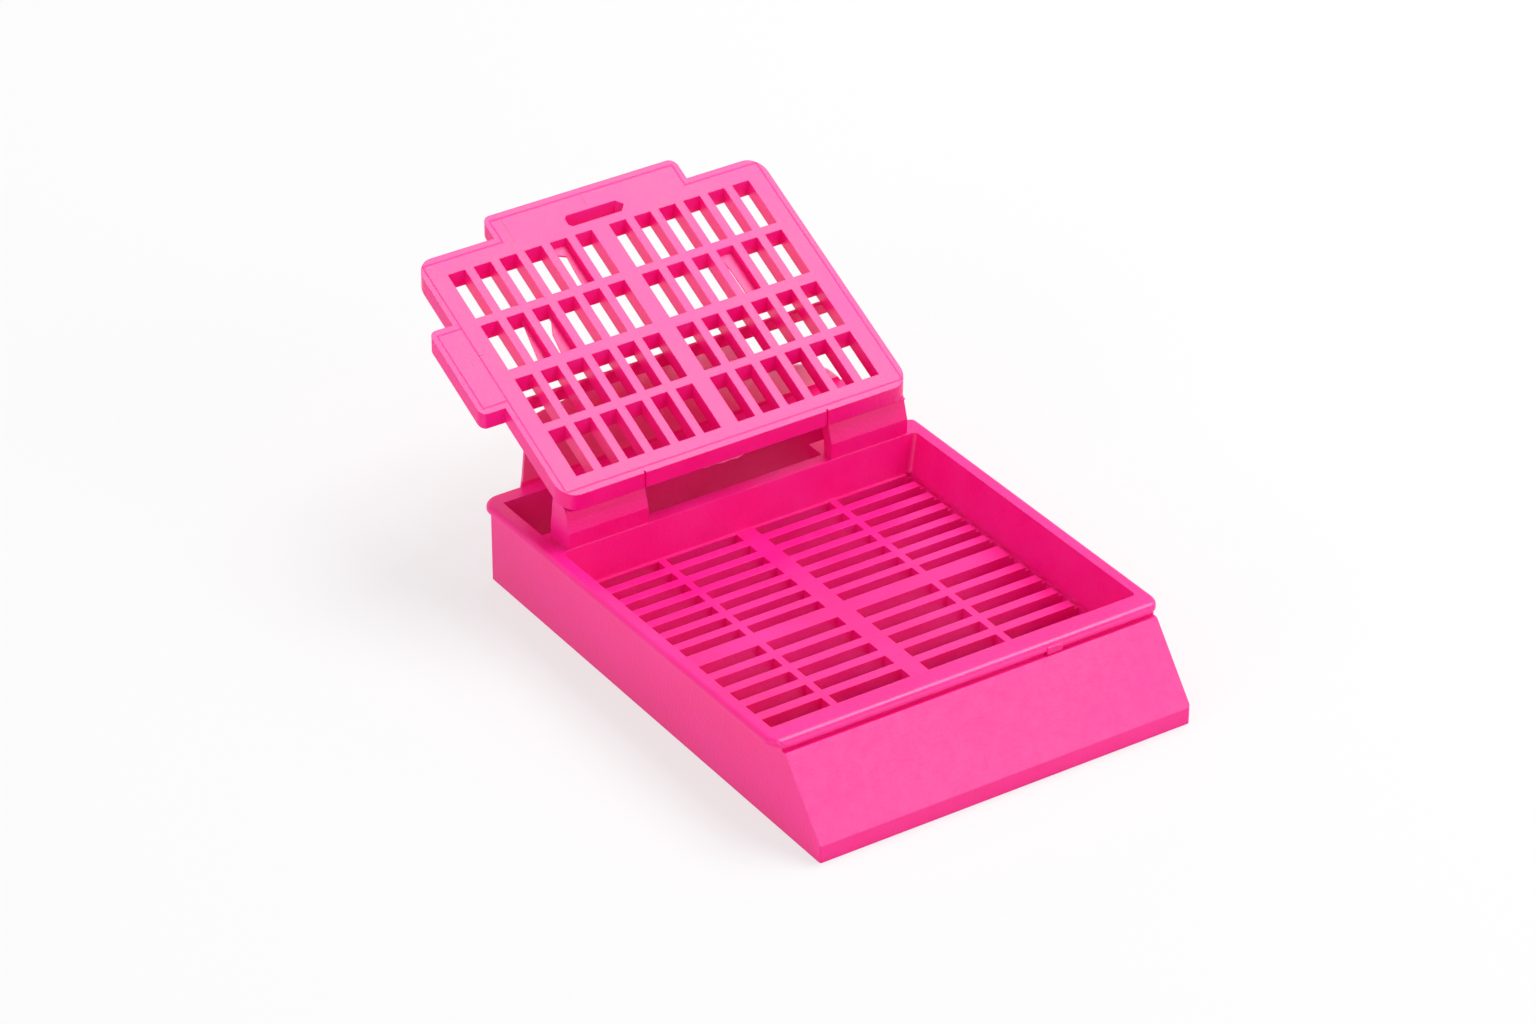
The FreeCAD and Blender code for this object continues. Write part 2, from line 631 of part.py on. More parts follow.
def rail_edge(edge):
    ends = [v.Point for v in edge.Vertexes]
    return all(abs(p.z - rail_top.value) < NEAR for p in ends) and edge.Length > over.value


fillet(base, "RailEdges", rail, rail_edge, rail_round)

# ---- the lid ----------------------------------------------------------------------------
lid = new_body("cassette_lid")
lid.Placement = FreeCAD.Placement(
    FreeCAD.Vector(0, lid_at.value, lid_high.value), FreeCAD.Rotation())
lid.setExpression(".Placement.Base.y", lid_at.text)
lid.setExpression(".Placement.Base.z", lid_high.text)

# the sloping plate, its edges cut straight down
plate_side = sketch_on(lid, "YZ_Plane", "PlateSide")
polygon(plate_side, ((lid_near, lid_near * lid_slope), (lid_far, lid_far * lid_slope),
                     (lid_far, lid_far * lid_slope - lid_thick),
                     (lid_near, lid_near * lid_slope - lid_thick)))
plate = pad(lid, plate_side, "Plate", lid_half * over, both=True)
fillet(lid, "PlateCorners", plate, upright, lid_corner)

# the finger tab on the far edge
tab_root = lid_far - one
tab_side = sketch_on(lid, "YZ_Plane", "TabSide", tab_left)
polygon(tab_side, ((tab_root, tab_root * lid_slope), (tab_end, tab_end * lid_slope),
                   (tab_end, tab_end * lid_slope - tab_thick),
                   (tab_root, tab_root * lid_slope - tab_thick)))
tab = pad(lid, tab_side, "Tab", tab_right - tab_left)
fillet(lid, "TabCorners", tab,
             lambda e: upright(e) and e.CenterOfMass.y > tab_end.value - NEAR, tab_corner)

# the press tab on the left edge
side_plate = sketch_on(lid, "YZ_Plane", "SideSide", side_out)
polygon(side_plate, ((side_near, side_near * lid_slope), (side_far, side_far * lid_slope),
                     (side_far, side_far * lid_slope - side_thick),
                     (side_near, side_near * lid_slope - side_thick)))
side = pad(lid, side_plate, "SideTab", side_over + one)
fillet(lid, "SideCorners", side,
              lambda e: upright(e) and e.CenterOfMass.x < side_out.value + NEAR, side_corner)

# four rows of slots: two slots drawn per row, each repeated six times across
COLUMNS = 6
cell_plan = sketch_on(lid, "XY_Plane", "CellPlan", lid_far)
for row_mid in (-cell_row_b, -cell_row_a, cell_row_a, cell_row_b):
    for column_mid in (cell_first, -cell_first - cell_pitch * as_size(COLUMNS - 1)):
        rectangle(cell_plan, column_mid - cell_wid * half, column_mid + cell_wid * half,
                  row_mid - cell_len * half, row_mid + cell_len * half)
cells = pocket(lid, cell_plan, "Cells")
row_of(lid, "CellRows", cells, cell_plan, "H_Axis", COLUMNS, cell_pitch)

# the long slot in the root of the finger tab, pointed at its right end
long_plan = sketch_on(lid, "XY_Plane", "LongPlan", lid_far)
long_h = long_wid * half
polygon(long_plan, ((long_left, long_mid - long_h * half), (long_left + long_h * half, long_mid - long_h),
                    (long_right - long_h, long_mid - long_h), (long_right, long_mid),
                    (long_right - long_h, long_mid + long_h), (long_left + long_h * half, long_mid + long_h),
                    (long_left, long_mid + long_h * half)))
pocket(lid, long_plan, "LongSlot")

# nicks in the near edge at the inner ends of the posts
nick_plan = sketch_on(lid, "XY_Plane", "NickPlan", lid_far)
for nick_at in (nick_left, nick_right):
    rectangle(nick_plan, nick_at - nick_wid * half, nick_at + nick_wid * half,
              lid_near - one, lid_near + nick_deep)
pocket(lid, nick_plan, "Nicks")

# ---- check and write --------------------------------------------------------------------
doc.recompute()
for item in doc.Objects:
    state = [word for word in item.State if word in ("Invalid", "Error")]
    if state:
        raise ValueError("%s: %s" % (item.Name, state))

os.makedirs("parts", exist_ok=True)
for body in (base, lid):
    shape = body.Shape
    if shape.isNull() or not shape.isValid() or len(shape.Solids) != 1:
        raise ValueError("%s is not one sound solid (%d)" % (body.Label, len(shape.Solids)))
    box = shape.BoundBox
    print(body.Label, "volume %.2f mm3" % shape.Volume,
          "x %.2f..%.2f y %.2f..%.2f z %.2f..%.2f" % (box.XMin, box.XMax, box.YMin, box.YMax,
                                                    box.ZMin, box.ZMax))
    shape.exportStep("parts/%s.step" % body.Label)
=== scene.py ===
# %% [markdown]
# A slotted tissue cassette, moulded in one go from pink acetal. The solids come from the
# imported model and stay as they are. This script gives them their plastic, adds the small
# moulded details that bend or are too fine for the solids, and lights the part.

# %% Load the fixed frame
import bmesh
import bpy
import math
from mathutils import Matrix, Vector


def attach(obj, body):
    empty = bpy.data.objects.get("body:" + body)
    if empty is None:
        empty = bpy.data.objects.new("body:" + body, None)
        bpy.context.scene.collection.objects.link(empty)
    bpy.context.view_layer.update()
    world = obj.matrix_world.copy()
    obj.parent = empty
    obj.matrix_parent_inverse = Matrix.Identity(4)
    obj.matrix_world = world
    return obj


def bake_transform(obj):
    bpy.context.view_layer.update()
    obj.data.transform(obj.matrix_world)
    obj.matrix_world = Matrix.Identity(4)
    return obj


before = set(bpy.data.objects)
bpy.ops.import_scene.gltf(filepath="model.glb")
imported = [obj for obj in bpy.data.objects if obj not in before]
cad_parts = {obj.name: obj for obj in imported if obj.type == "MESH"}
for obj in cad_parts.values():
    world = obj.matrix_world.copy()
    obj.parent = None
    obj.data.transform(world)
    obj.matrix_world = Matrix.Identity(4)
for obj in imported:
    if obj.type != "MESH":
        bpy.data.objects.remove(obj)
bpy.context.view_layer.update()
MM = 0.001


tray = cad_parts["cassette_base"]
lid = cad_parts["cassette_lid"]

# %% [markdown]
# Helpers for materials. Colours are written as sRGB hex values and turned to linear light
# by one function, because shaders add light and need linear values. One small function adds
# a shader node with its settings, its plain input values and its links.


# %% Colour and node helpers
def linear(hex_code):
    parts = [int(hex_code[i:i + 2], 16) / 255 for i in (1, 3, 5)]
    light = [c / 12.92 if c <= 0.04045 else ((c + 0.055) / 1.055) ** 2.4 for c in parts]
    return (light[0], light[1], light[2], 1.0)


def add_node(tree, kind, settings=None, inputs=None, links=None):
    node = tree.nodes.new(kind)
    for name, value in (settings or {}).items():
        setattr(node, name, value)
    for name, value in (inputs or {}).items():
        node.inputs[name].default_value = value
    for name, source in (links or {}).items():
        tree.links.new(source, node.inputs[name])
    return node


def new_material(name):
    material = bpy.data.materials.new(name)
    material.use_nodes = True
    material.node_tree.nodes.clear()
    return material, material.node_tree


print("half grey, in linear light:", round(linear("#808080")[0], 3))

# %% [markdown]
# The skin of the mould. Acetal copies its steel mould, which has a fine matt texture. The
# real grain is about 0.05 mm, too fine to show, so a noise bump is drawn four times as
# coarse. A steel mould's edges are never quite sharp, so the Bevel node rounds the shading
# of the sharp edges by a hair, and the grain lies on top of that.

# %% Grain and soft edges
GRAIN_MM = 0.2
GRAIN_DETAIL = 2.0
GRAIN_STRENGTH = 0.5
GRAIN_DEEP_MM = 0.04
EDGE_MM = 0.05
EDGE_SAMPLES = 4


def mould_skin(tree, place):
    grain = add_node(tree, "ShaderNodeTexNoise",
                     inputs={"Scale": 1 / (GRAIN_MM * MM), "Detail": GRAIN_DETAIL},
                     links={"Vector": place})
    edge = add_node(tree, "ShaderNodeBevel", {"samples": EDGE_SAMPLES},
                    {"Radius": EDGE_MM * MM})
    bump = add_node(tree, "ShaderNodeBump",
                    inputs={"Strength": GRAIN_STRENGTH, "Distance": GRAIN_DEEP_MM * MM},
                    links={"Height": grain.outputs["Fac"], "Normal": edge.outputs["Normal"]})
    return bump.outputs["Normal"]


print("grain, mm:", GRAIN_MM, "edge rounding, mm:", EDGE_MM)

# %% [markdown]
# Acetal. It has a soft, wide highlight and no mirror reflections. It is dense and waxy: a
# little light goes in and comes out beside where it went in, red furthest, which makes thin
# bars glow and deep corners turn to a saturated red pink. Flow while the mould filled leaves
# faint cloudy differences in colour and gloss, which one wide noise pattern gives. A part
# may add wear marks or painted light to the colour, and its own line in the surface.

# %% Pink acetal
ACETAL_PINK = "#F80A88"
FLOW_PINK = "#FB2094"
FLOW_FROM_TO = (0.4, 0.7)
CLOUD_MM = 7.0
CLOUD_DETAIL = 6.0
CLOUD_ROUGHNESS = 0.62
GLOSS_FROM_TO = (0.3, 0.7)
ACETAL_ROUGHNESS = (0.29, 0.38)
ACETAL_IOR = 1.48
ACETAL_SHINE = 0.42
SCATTER_SHARE = 0.15
SCATTER_RED_GREEN_BLUE = (1.0, 0.25, 0.45)
SCATTER_MM = 0.5


def acetal(name, colour=ACETAL_PINK, wear_and_painted_light=None, line=None):
    material, tree = new_material(name)
    place = add_node(tree, "ShaderNodeTexCoord").outputs["Object"]
    cloud = add_node(tree, "ShaderNodeTexNoise",
                     inputs={"Scale": 1 / (CLOUD_MM * MM), "Detail": CLOUD_DETAIL,
                             "Roughness": CLOUD_ROUGHNESS},
                     links={"Vector": place})
    rough = add_node(tree, "ShaderNodeMapRange",
                     inputs={"From Min": GLOSS_FROM_TO[0], "From Max": GLOSS_FROM_TO[1],
                             "To Min": ACETAL_ROUGHNESS[0], "To Max": ACETAL_ROUGHNESS[1]},
                     links={"Value": cloud.outputs["Fac"]})
    flow = add_node(tree, "ShaderNodeMapRange",
                    inputs={"From Min": FLOW_FROM_TO[0], "From Max": FLOW_FROM_TO[1]},
                    links={"Value": cloud.outputs["Fac"]})
    pink = add_node(tree, "ShaderNodeMix", {"data_type": "RGBA"},
                    {"A": linear(colour), "B": linear(FLOW_PINK)},
                    {"Factor": flow.outputs["Result"]})
    body = pink.outputs["Result"]
    normal = mould_skin(tree, place)
    if line:
        normal = line(tree, place, normal)
    plastic = add_node(tree, "ShaderNodeBsdfPrincipled",
                       inputs={"IOR": ACETAL_IOR, "Specular IOR Level": ACETAL_SHINE,
                               "Subsurface Weight": SCATTER_SHARE,
                               "Subsurface Radius": SCATTER_RED_GREEN_BLUE,
                               "Subsurface Scale": SCATTER_MM * MM},
                       links={"Roughness": rough.outputs["Result"], "Normal": normal})
    if wear_and_painted_light:
        body, through = wear_and_painted_light(tree, place, body)
        if through:
            tree.links.new(through, plastic.inputs["Subsurface Weight"])
    tree.links.new(body, plastic.inputs["Base Color"])
    add_node(tree, "ShaderNodeOutputMaterial", links={"Surface": plastic.outputs["BSDF"]})
    return material


def fitted(part, material):
    part.data.materials.clear()
    part.data.materials.append(material)
    print(material.name, "on", part.name)


print("acetal roughness from", ACETAL_ROUGHNESS[0], "to", ACETAL_ROUGHNESS[1])

# %% [markdown]
# The tray's break-off web is a film. Where it runs out towards its free right edge it is
# thinner than paper, so light behind shows through: some really passes, as the subsurface
# share rises to full there, and the rest is painted light, a pale pink mixed into the colour.
# The film is found by its place behind the rear rim, and the painted paleness grows along a
# slanting measure, which is the distance to the right plus twice the height.

# %% Thin film on the tray, with painted back-light
# Painted back-light: this pale pink stands in for light coming through the thin film from
# behind.
PAINTED_BACKLIGHT_PINK = "#FDC3D6"
WEB_FACE_MM = 38.95
WEB_FOOT_MM = 6.6
WEB_TOP_MM = 11.88
WEB_SLANT = 2.0
WEB_BACKLIGHT_MM = (16.6, 25.1)
WEB_LEAST_BACKLIGHT = 0.18


def thin_web_backlight(tree, place, body):
    spot = add_node(tree, "ShaderNodeSeparateXYZ", links={"Vector": place})
    slant = add_node(tree, "ShaderNodeMath", {"operation": "MULTIPLY_ADD"}, {1: WEB_SLANT},
                     {0: spot.outputs["Z"], 2: spot.outputs["X"]})
    painted_backlight = add_node(tree, "ShaderNodeMapRange", {"interpolation_type": "SMOOTHSTEP"},
                    {"From Min": WEB_BACKLIGHT_MM[0] * MM, "From Max": WEB_BACKLIGHT_MM[1] * MM,
                     "To Min": WEB_LEAST_BACKLIGHT},
                    {"Value": slant.outputs[0]})
    film = painted_backlight.outputs["Result"]
    for axis, side, limit_mm in (("Y", "GREATER_THAN", WEB_FACE_MM),
                                 ("Z", "GREATER_THAN", WEB_FOOT_MM),
                                 ("Z", "LESS_THAN", WEB_TOP_MM)):
        within = add_node(tree, "ShaderNodeMath", {"operation": side}, {1: limit_mm * MM},
                          {0: spot.outputs[axis]})
        film = add_node(tree, "ShaderNodeMath", {"operation": "MULTIPLY"}, None,
                        {0: film, 1: within.outputs[0]}).outputs[0]
    # Painted back-light: the pale pink is mixed into the film's own colour.
    mix = add_node(tree, "ShaderNodeMix", {"data_type": "RGBA"}, {"B": linear(PAINTED_BACKLIGHT_PINK)},
                   {"A": body, "Factor": film})
    through = add_node(tree, "ShaderNodeMapRange", None,
                       {"To Min": SCATTER_SHARE, "To Max": 1.0}, {"Value": film})
    return mix.outputs["Result"], through.outputs["Result"]


print("thin film, mm high:", round(WEB_TOP_MM - WEB_FOOT_MM, 2))

# %% [markdown]
# The writing face. That part of the mould is spark-eroded, so the slanted face comes out
# finely rough and takes a pencil. Its many tiny facets scatter white light; here that sheen is
# painted into the colour as a paler pink, in soft mottles. Single facets are far too fine to
# show, so the mottles are drawn 0.9 mm wide. The face is found as the skin of the tray that
# lies along one slanted plane.

# %% Matt writing face, with painted sheen
# Painted sheen: a paler pink standing in for white light scattered by the rough face.
MATT_PAINTED_SHEEN_PINK = "#F34299"
MOTTLE_MM = 0.9
MOTTLE_DETAIL = 4.0
MOTTLE_ROUGHNESS = 0.7
MOTTLE_FROM_TO = (0.35, 0.65)
MOTTLE_SHARE = (0.6, 1.0)
FACE_FOOT_MM = (0.0, 1.26)
FACE_HEAD_MM = (3.92, 5.95)
FACE_SKIN_MM = 0.05


def matt_face_painted_sheen(tree, place, body):
    along = Vector((0.0, FACE_HEAD_MM[0] - FACE_FOOT_MM[0], FACE_HEAD_MM[1] - FACE_FOOT_MM[1]))
    outward = Vector((0.0, -along.z, along.y)).normalized()
    foot = Vector((0.0, FACE_FOOT_MM[0], FACE_FOOT_MM[1])) * MM
    away = add_node(tree, "ShaderNodeVectorMath", {"operation": "DOT_PRODUCT"},
                    {1: tuple(outward)}, {0: place})
    on_face = add_node(tree, "ShaderNodeMath", {"operation": "COMPARE"},
                       {1: outward.dot(foot), 2: FACE_SKIN_MM * MM},
                       {0: away.outputs["Value"]})
    mottle = add_node(tree, "ShaderNodeTexNoise",
                      inputs={"Scale": 1 / (MOTTLE_MM * MM), "Detail": MOTTLE_DETAIL,
                              "Roughness": MOTTLE_ROUGHNESS},
                      links={"Vector": place})
    amount = add_node(tree, "ShaderNodeMapRange",
                      inputs={"From Min": MOTTLE_FROM_TO[0], "From Max": MOTTLE_FROM_TO[1],
                              "To Min": MOTTLE_SHARE[0], "To Max": MOTTLE_SHARE[1]},
                      links={"Value": mottle.outputs["Fac"]})
    share = add_node(tree, "ShaderNodeMath", {"operation": "MULTIPLY"}, None,
                     {0: on_face.outputs[0], 1: amount.outputs["Result"]})
    # Painted sheen: the paler pink is mixed in on the writing face, in mottles.
    mix = add_node(tree, "ShaderNodeMix", {"data_type": "RGBA"}, {"B": linear(MATT_PAINTED_SHEEN_PINK)},
                   {"A": body, "Factor": share.outputs[0]})
    return mix.outputs["Result"]


# Painted light on the tray: painted sheen on the writing face and painted back-light in the
# web film.
def tray_painted_light(tree, place, body):
    return thin_web_backlight(tree, place, matt_face_painted_sheen(tree, place, body))


fitted(tray, acetal("moulded_acetal_tray", wear_and_painted_light=tray_painted_light))

# %% [markdown]
# The mould line. The lid has a fine line all round its face, 0.4 mm inside the edge, where
# two parts of the mould met. The face is one rectangle and two tabs, each given by its
# middle and half its size in plan. The distance to the edge is measured for each, and the
# smallest is the distance to the whole outline. A narrow band of it makes a shallow groove.

# %% Mould line on the lid
LINE_INSET_MM = 0.42
LINE_WIDE_MM = 0.07
LINE_DEEP_MM = 0.05
LINE_STRENGTH = 0.4
LID_AREAS_MM = (((0.0, 40.067), (13.6, 9.3035)), ((0.225, 45.9), (7.625, 5.13)),
                ((-14.105, 41.186), (1.345, 3.27)))


def outside_areas(tree, place, areas_mm):
    nearest = None
    for middle, half in areas_mm:
        away = add_node(tree, "ShaderNodeVectorMath", {"operation": "SUBTRACT"},
                        {1: (middle[0] * MM, middle[1] * MM, 0.0)}, {0: place})
        away = add_node(tree, "ShaderNodeVectorMath", {"operation": "ABSOLUTE"}, None,
                        {0: away.outputs[0]})
        away = add_node(tree, "ShaderNodeVectorMath", {"operation": "SUBTRACT"},
                        {1: (half[0] * MM, half[1] * MM, 0.0)}, {0: away.outputs[0]})
        part = add_node(tree, "ShaderNodeSeparateXYZ", links={"Vector": away.outputs[0]})
        edge = add_node(tree, "ShaderNodeMath", {"operation": "MAXIMUM"}, None,
                        {0: part.outputs["X"], 1: part.outputs["Y"]})
        if nearest:
            edge = add_node(tree, "ShaderNodeMath", {"operation": "MINIMUM"}, None,
                            {0: nearest, 1: edge.outputs[0]})
        nearest = edge.outputs[0]
    return nearest


def mould_line(tree, place, normal):
    inside = add_node(tree, "ShaderNodeMath", {"operation": "ADD"}, {1: LINE_INSET_MM * MM},
                      {0: outside_areas(tree, place, LID_AREAS_MM)})
    offset = add_node(tree, "ShaderNodeMath", {"operation": "ABSOLUTE"}, None,
                      {0: inside.outputs[0]})
    band = add_node(tree, "ShaderNodeMapRange", {"interpolation_type": "SMOOTHSTEP"},
                    {"From Min": 0.0, "From Max": LINE_WIDE_MM * MM,
                     "To Min": 1.0, "To Max": 0.0},
                    {"Value": offset.outputs[0]})
    groove = add_node(tree, "ShaderNodeBump", {"invert": True},
                      {"Strength": LINE_STRENGTH, "Distance": LINE_DEEP_MM * MM},
                      {"Height": band.outputs["Result"], "Normal": normal})
    return groove.outputs["Normal"]


print("mould line round", len(LID_AREAS_MM), "areas, mm inside the edge:", LINE_INSET_MM)

# %% [markdown]
# A few small marks of handling on the lid: a hair scratch and a witness line on the finger
# tab, a short nick and a dark speck by the press tab. Each is a tiny area in plan, measured
# as the outline was, where the pink is darker.

# %% Marks on the lid
MARK_PINK = "#600838"
MARK_SHARE = 0.75
MARK_SOFT_MM = 0.06
MARKS_MM = (((0.09, 50.16), (0.01, 0.42)), ((-6.17, 49.54), (0.01, 0.9)),
            ((-13.0, 41.87), (0.18, 0.01)), ((-13.94, 41.41), (0.03, 0.03)))


def worn(tree, place, body):
    mark = add_node(tree, "ShaderNodeMapRange", {"interpolation_type": "SMOOTHSTEP"},
                    {"From Min": 0.0, "From Max": MARK_SOFT_MM * MM,
                     "To Min": MARK_SHARE, "To Max": 0.0},
                    {"Value": outside_areas(tree, place, MARKS_MM)})
    mix = add_node(tree, "ShaderNodeMix", {"data_type": "RGBA"}, {"B": linear(MARK_PINK)},
                   {"A": body, "Factor": mark.outputs["Result"]})
    return mix.outputs["Result"], None


fitted(lid, acetal("moulded_acetal_lid", wear_and_painted_light=worn, line=mould_line))

# %% [markdown]
# Helpers for the small pieces. Each is shaped in millimetres with bmesh operators. Then it
# is scaled to metres, its faces are turned outwards, and it becomes an object that sits at
# the origin, with its place in its mesh. A sliver is a flat outline pushed out into a thin
# plate.


# %% Piece helpers
def made_piece(form, name, material):
    bmesh.ops.scale(form, vec=(MM, MM, MM), verts=form.verts)
    bmesh.ops.recalc_face_normals(form, faces=form.faces)
    mesh = bpy.data.meshes.new(name)
    form.to_mesh(mesh)
    form.free()
    piece = bpy.data.objects.new(name, mesh)
    bpy.context.scene.collection.objects.link(piece)
    mesh.materials.append(material)
    print(name, "faces:", len(mesh.polygons))
    return piece


def add_sliver(form, corners_mm, push_mm):
    face = form.faces.new([form.verts.new(corner) for corner in corners_mm])
    grown = bmesh.ops.extrude_face_region(form, geom=[face])
    pushed = [item for item in grown["geom"] if isinstance(item, bmesh.types.BMVert)]
    bmesh.ops.translate(form, vec=push_mm, verts=pushed)


print("pieces are shaped in mm, metres in one:", MM)

# %% [markdown]
# The living hinge. The cassette comes out of one mould, and only two films of plastic, as
# thin as paper, join the heads of the hinge posts to the lid's near edge. They bend as the
# lid turns, so each is a thin strip, cut across into 12 narrow bands.

# %% Living hinge films
FILM_THICK_MM = 0.07
FILM_BANDS = 12
FILM_REACH_MM = (30.83, 31.32)
FILM_HIGH_MM = (9.065, 9.14)
POST_SPANS_MM = {"left": (-13.2, -7.3), "right": (7.3, 13.2)}
film_acetal = acetal("moulded_acetal_film")


def hinge_film(name, span_mm):
    width = span_mm[1] - span_mm[0]
    reach = FILM_REACH_MM[1] - FILM_REACH_MM[0]
    slope = (FILM_HIGH_MM[1] - FILM_HIGH_MM[0]) / reach
    middle = sum(span_mm) / 2
    form = bmesh.new()
    bmesh.ops.create_grid(form, x_segments=1, y_segments=FILM_BANDS, size=0.5)
    bmesh.ops.scale(form, vec=(width, reach, 1.0), verts=form.verts)
    bmesh.ops.translate(form, vec=(middle, sum(FILM_REACH_MM) / 2, FILM_HIGH_MM[0]),
                        verts=form.verts)
    for corner in form.verts:
        corner.co.z += (corner.co.y - FILM_REACH_MM[0]) * slope
    bmesh.ops.solidify(form, geom=form.faces[:], thickness=FILM_THICK_MM)
    film = made_piece(form, name, film_acetal)
    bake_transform(film)


for end, span_mm in POST_SPANS_MM.items():
    hinge_film("hinge_film_" + end, span_mm)

# %% [markdown]
# Flash. In a few of the lid's slots the mould halves didn't quite close, and a sliver of
# plastic as thin as foil ran in from the right wall, part of the way down. Each is a flat
# outline drawn in plan, laid on the lid's slope and given its thickness. Its pink is made a
# little paler as painted light, which lifts the foil out of the shade of its slot.

# %% Flash in the slots of the lid
# Painted light: a slightly paler pink that makes the foil read as lit inside the slot's shade.
FLASH_PAINTED_LIGHT_PINK = "#FA1C88"
FLASH_THICK_MM = 0.1
FLASH_DEPTH_MM = 0.7
LID_SLOPE = math.tan(math.radians(24.956))
LID_LINE_MM = (39.966, 14.480)
FLASH_OUTLINES_MM = (
    ((-8.54, 3.88), (-8.70, 3.88), (-9.38, 0.36), (-8.54, 0.36)),
    ((-6.57, 3.88), (-6.66, 3.88), (-6.82, 3.24), (-7.28, 2.33), (-7.57, 0.36),
     (-6.57, 0.36)),
    ((6.90, 3.88), (7.03, 2.70), (7.05, 0.36), (7.94, 0.36), (7.94, 3.88)),
    ((-2.62, 7.95), (-3.99, 7.95), (-3.99, 7.60), (-3.11, 7.19), (-3.20, 6.18),
     (-3.30, 4.43), (-2.62, 4.43)))

form = bmesh.new()
for outline in FLASH_OUTLINES_MM:
    corners = [(x, LID_LINE_MM[0] + y, LID_LINE_MM[1] + y * LID_SLOPE - FLASH_DEPTH_MM)
               for x, y in outline]
    add_sliver(form, corners, (0.0, 0.0, FLASH_THICK_MM))
lid_flash = made_piece(form, "lid_flash", acetal("moulded_acetal_flash", colour=FLASH_PAINTED_LIGHT_PINK))
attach(lid_flash, "lid")

# %% [markdown]
# A ragged thread of flash also hangs from the middle of the lid's near edge, where the mould
# halves met. It is the same kind of flat outline, this time drawn upright. So thin a thread
# catches a highlight and lets light through, and both are painted as a pale pink colour.

# %% Flash under the near edge
# Painted highlight and light coming through: a pale pink in place of lamp light on the thread.
THREAD_PAINTED_LIGHT_PINK = "#FF9AC4"
THREAD_AT_MM = (30.77, 9.05)
THREAD_THICK_MM = 0.05
THREAD_OUTLINE_MM = ((-3.4, 0.06), (-2.7, -0.05), (-2.0, -0.02), (-1.3, -0.12),
                     (-0.8, -0.06), (-0.2, -0.16), (0.2, -0.04), (0.5, 0.06))

form = bmesh.new()
corners = [(x, THREAD_AT_MM[0], THREAD_AT_MM[1] + z) for x, z in THREAD_OUTLINE_MM]
add_sliver(form, corners, (0.0, THREAD_THICK_MM, 0.0))
edge_flash = made_piece(form, "edge_flash",
                        acetal("moulded_acetal_thread", colour=THREAD_PAINTED_LIGHT_PINK))
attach(edge_flash, "lid")

# %% [markdown]
# A small lump of plastic fills the groove under the front rim bead, right of the middle,
# where the mould was chipped. It is a cube scaled to size, with its edges beveled round.

# %% Lump under the front rim
LUMP_SIZE_MM = (1.2, 0.3, 0.56)
LUMP_MIDDLE_MM = (6.35, 4.19, 6.22)
LUMP_ROUND_MM = 0.1
LUMP_ROUND_STEPS = 3

form = bmesh.new()
bmesh.ops.create_cube(form, size=1.0)
bmesh.ops.scale(form, vec=LUMP_SIZE_MM, verts=form.verts)
bmesh.ops.bevel(form, geom=form.edges[:], offset=LUMP_ROUND_MM, segments=LUMP_ROUND_STEPS,
                affect="EDGES", profile=0.5, material=-1)
bmesh.ops.translate(form, vec=LUMP_MIDDLE_MM, verts=form.verts)
rim_lump = made_piece(form, "rim_lump", film_acetal)
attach(rim_lump, "tray")

# %% [markdown]
# The stage: a wide pale floor.

# %% Floor
FLOOR_M = 4.0

form = bmesh.new()
bmesh.ops.create_grid(form, x_segments=1, y_segments=1, size=FLOOR_M)
floor_mesh = bpy.data.meshes.new("floor")
form.to_mesh(floor_mesh)
form.free()
floor = bpy.data.objects.new("floor", floor_mesh)
bpy.context.scene.collection.objects.link(floor)
print("floor, m wide:", 2 * FLOOR_M)

# %% [markdown]
# White paper. To the part the floor is matt white paper. To the camera, and in gloss, most
# of its white is a plain even glow and the rest is paper, so the ground reads as the white
# sweep of a product table and still carries the shadow. Under the tray the paper is covered
# and has no glow, so the slots stay deep and rich in colour.

# %% Paper on the floor
PAPER_WHITE = "#F4F2F3"
SHADE_GREY = "#8C8C8C"
GLOW_LEVEL = 0.66
COVERED_MM = (((0.0, 19.5), (13.6, 18.9)),)


def background_rays(tree):
    path = add_node(tree, "ShaderNodeLightPath")
    rays = path.outputs["Is Camera Ray"]
    for kind in ("Is Glossy Ray", "Is Transmission Ray"):
        rays = add_node(tree, "ShaderNodeMath", {"operation": "MAXIMUM"}, None,
                        {0: rays, 1: path.outputs[kind]}).outputs[0]
    return rays


sweep, tree = new_material("white_sweep")
place = add_node(tree, "ShaderNodeTexCoord").outputs["Object"]
clear = add_node(tree, "ShaderNodeMath", {"operation": "GREATER_THAN"}, {1: 0.0},
                 {0: outside_areas(tree, place, COVERED_MM)})
shown = add_node(tree, "ShaderNodeMath", {"operation": "MULTIPLY"}, None,
                 {0: background_rays(tree), 1: clear.outputs[0]})
paper = add_node(tree, "ShaderNodeBsdfDiffuse", inputs={"Color": linear(PAPER_WHITE)})
shade = add_node(tree, "ShaderNodeBsdfDiffuse", inputs={"Color": linear(SHADE_GREY)})
glow = add_node(tree, "ShaderNodeEmission",
                inputs={"Color": (1, 1, 1, 1), "Strength": GLOW_LEVEL})
bright = add_node(tree, "ShaderNodeAddShader",
                  links={0: shade.outputs[0], 1: glow.outputs[0]})
ground = add_node(tree, "ShaderNodeMixShader",
                  links={0: shown.outputs[0], 1: paper.outputs[0], 2: bright.outputs[0]})
add_node(tree, "ShaderNodeOutputMaterial", links={"Surface": ground.outputs[0]})
floor_mesh.materials.append(sweep)
print("floor material:", sweep.name)

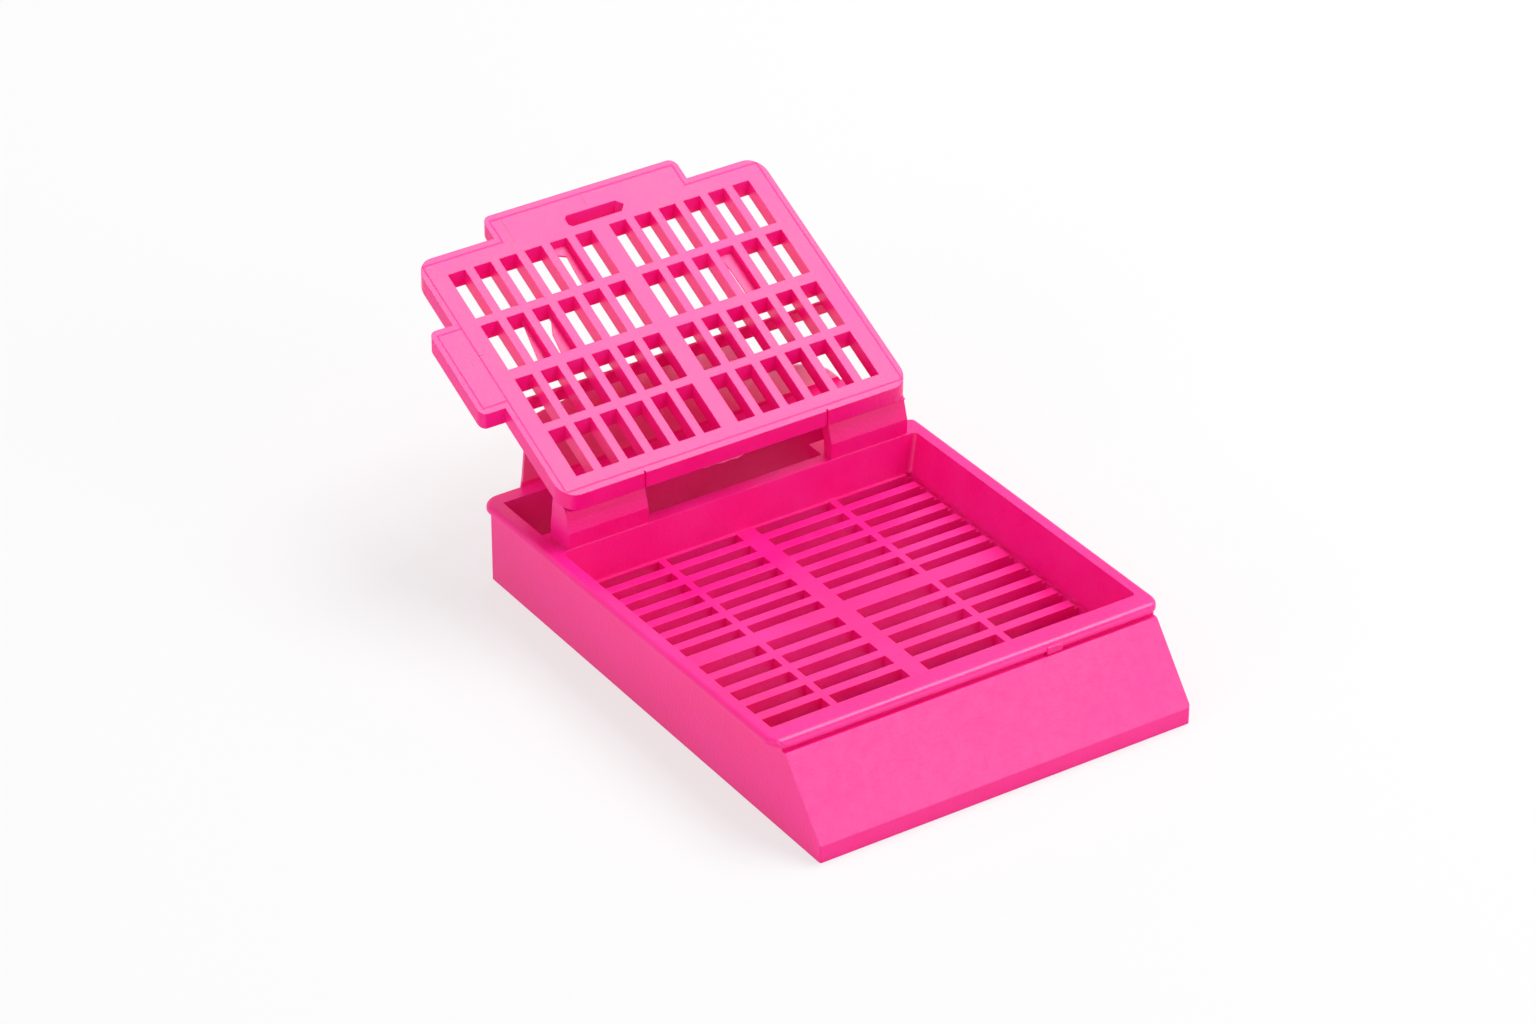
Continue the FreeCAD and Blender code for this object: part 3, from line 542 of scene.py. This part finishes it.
# %% [markdown]
# The room. A white room all round lights the part evenly, at half strength. To the camera
# and in gloss it is full white.

# %% World
WORLD_LEVEL = 0.5

world = bpy.data.worlds.new("studio")
bpy.context.scene.world = world
world.use_nodes = True
tree = world.node_tree
tree.nodes.clear()
level = add_node(tree, "ShaderNodeMapRange", inputs={"To Min": WORLD_LEVEL, "To Max": 1.0},
                 links={"Value": background_rays(tree)})
sky = add_node(tree, "ShaderNodeBackground", inputs={"Color": (1, 1, 1, 1)},
               links={"Strength": level.outputs["Result"]})
add_node(tree, "ShaderNodeOutputWorld", links={"Surface": sky.outputs[0]})
print("world level:", WORLD_LEVEL)

# %% [markdown]
# Three soft boxes, as on a product table: a large one high on the right, which puts the soft
# shadow on the left, a weak one low in front for the writing face, and a weak one on the
# left that keeps the side wall bright. Each is a square lamp aimed at the tray.

# %% Soft boxes
BOX_AIM_MM = (0, 20, 5)
SOFT_BOXES = {"key_box": ((250, 60, 490), 330, 2.35),
              "front_box": ((216, -342, 190), 180, 0.32),
              "left_box": ((-420, -60, 160), 320, 0.5)}

for name, (place_mm, side_mm, watts) in SOFT_BOXES.items():
    lamp = bpy.data.lights.new(name, "AREA")
    lamp.shape = "SQUARE"
    lamp.size = side_mm * MM
    lamp.energy = watts
    holder = bpy.data.objects.new(name, lamp)
    start = Vector(place_mm) * MM
    aim = Vector(BOX_AIM_MM) * MM - start
    holder.location = start
    holder.rotation_euler = aim.to_track_quat("-Z", "Y").to_euler()
    bpy.context.scene.collection.objects.link(holder)
    print(name, "mm wide:", side_mm, "watts:", watts)

# %% [markdown]
# The camera. A long lens from the front left and above, where the open tray, the writing
# face and the standing lid are seen at once. Its place is worked out from the point that it
# looks at, two angles and a distance, and its roll turns it a hair about its own line.

# %% Camera
LENS_MM = 142.398
SENSOR_MM = 36.0
NEAR_FAR_M = (0.01, 20.0)
AIM_MM = (5.681, 35.977, 0.0)
DISTANCE_MM = 410.29
AZIMUTH = math.radians(-33.646)
HEIGHT = math.radians(31.997)
ROLL = math.radians(0.318)

back = Vector((math.sin(AZIMUTH) * math.cos(HEIGHT), -math.cos(AZIMUTH) * math.cos(HEIGHT),
               math.sin(HEIGHT)))
side = Vector((math.cos(AZIMUTH), math.sin(AZIMUTH), 0.0))
rise = back.cross(side)
right = side * math.cos(ROLL) + rise * math.sin(ROLL)
upward = rise * math.cos(ROLL) - side * math.sin(ROLL)
spot = (Vector(AIM_MM) + back * DISTANCE_MM) * MM
turn = Matrix((right, upward, back)).transposed()

lens = bpy.data.cameras.new("camera")
lens.sensor_fit = "HORIZONTAL"
lens.sensor_width = SENSOR_MM
lens.lens = LENS_MM
lens.clip_start, lens.clip_end = NEAR_FAR_M
camera = bpy.data.objects.new("camera", lens)
camera.matrix_world = Matrix.Translation(spot) @ turn.to_4x4()
bpy.context.scene.collection.objects.link(camera)
bpy.context.scene.camera = camera
bpy.context.scene.view_settings.view_transform = "Standard"
print("camera at, mm:", [round(v / MM, 1) for v in spot])
